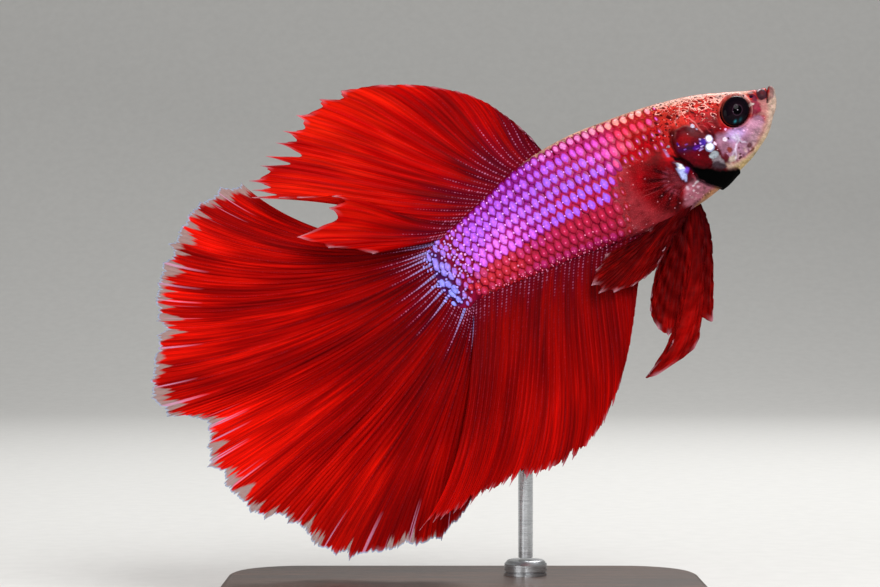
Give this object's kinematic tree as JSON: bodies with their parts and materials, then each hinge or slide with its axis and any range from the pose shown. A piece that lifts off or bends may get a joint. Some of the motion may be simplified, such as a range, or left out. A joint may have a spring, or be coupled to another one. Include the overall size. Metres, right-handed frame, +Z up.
{
  "type": "betta fish model",
  "caption": "Still life-size model of a male halfmoon betta swimming nose-up with fins spread, held by one bent rod on a flat wooden foot.",
  "frame": {"origin": "centre of the stand's foot, on its underside, which is the bottom centre of the whole model's box", "axes": "+X towards the fish's snout, +Y towards the fish's left flank, +Z up"},
  "size_m": [0.075, 0.034, 0.0634],
  "materials": {
    "head_skin": "glossy painted skin, red with pale veins and dark freckles",
    "chin_skin": "glossy painted skin, cream and pale pink",
    "lip_skin": "glossy painted skin, dark grey-brown",
    "gill_dark": "near-black membrane, satin",
    "eye_black": "very glossy black",
    "scaled_skin": "iridescent painted scales, violet and magenta over crimson",
    "fin_red": "thin satin membrane, bright red, darker at the root",
    "fin_clear": "thin clear membrane, faint pink-red",
    "stand_wood": "dark stained, satin lacquer",
    "stand_steel": "brushed"
  },
  "bodies": {
    "root": {"head": "head_skin", "gill_cover_right": "head_skin", "gill_cover_left": "head_skin", "lower_jaw": "chin_skin", "upper_lip": "lip_skin", "gill_membrane": "gill_dark", "eye_right": "eye_black", "eye_left": "eye_black", "trunk_front": "scaled_skin", "trunk_rear": "scaled_skin", "tail_stalk": "scaled_skin", "dorsal_fin": "fin_red", "caudal_fin": "fin_red", "anal_fin": "fin_red", "pelvic_fin_left": "fin_red", "pelvic_fin_right": "fin_red", "pectoral_fin_right": "fin_clear", "pectoral_fin_left": "fin_clear", "stand_base": "stand_wood", "stand_collar": "stand_steel", "stand_rod": "stand_steel"}
  },
  "joints": []
}
